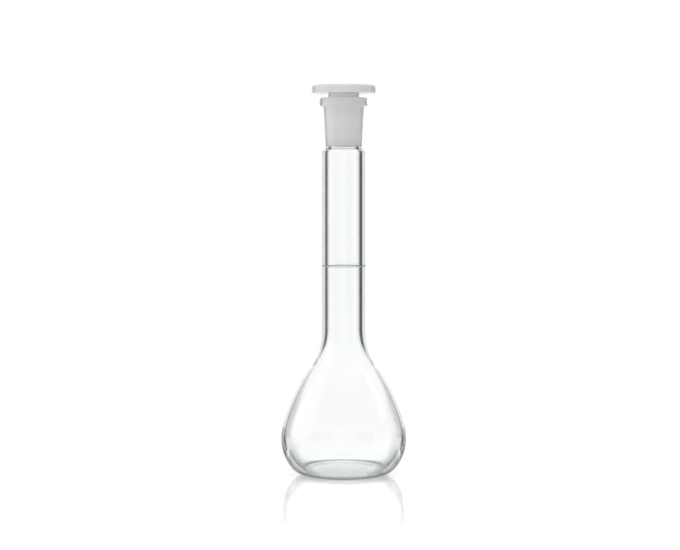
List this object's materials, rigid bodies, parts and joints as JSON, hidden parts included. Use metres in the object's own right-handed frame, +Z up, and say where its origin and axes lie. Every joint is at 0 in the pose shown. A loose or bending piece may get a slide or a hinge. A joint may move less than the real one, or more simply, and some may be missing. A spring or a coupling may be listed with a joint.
{
  "type": "volumetric flask",
  "caption": "Clear glass volumetric flask with a pear-shaped flat-footed bulb, long neck with a ring mark, ground conical socket and a removable plastic stopper.",
  "frame": {"origin": "centre of the foot, on the surface that the flask stands on", "axes": "+Z runs up the neck to the stopper; the flask is round about Z, so X and Y are free"},
  "size_m": [0.0596, 0.0596, 0.1852],
  "materials": {
    "clear_glass": "polished",
    "ground_glass": "matt ground bore, polished outside",
    "enamel_mark": "fired enamel",
    "stopper_plastic": "milky, satin"
  },
  "bodies": {
    "flask": {"flask_body": "clear_glass", "ground_socket": "ground_glass", "graduation_ring": "enamel_mark"},
    "stopper": {"stopper": "stopper_plastic"}
  },
  "joints": [
    {"name": "stopper_lift", "type": "slide", "parent": "flask", "child": "stopper", "axis": [0, 0, 1], "range_m": [0, 0.05]}
  ]
}
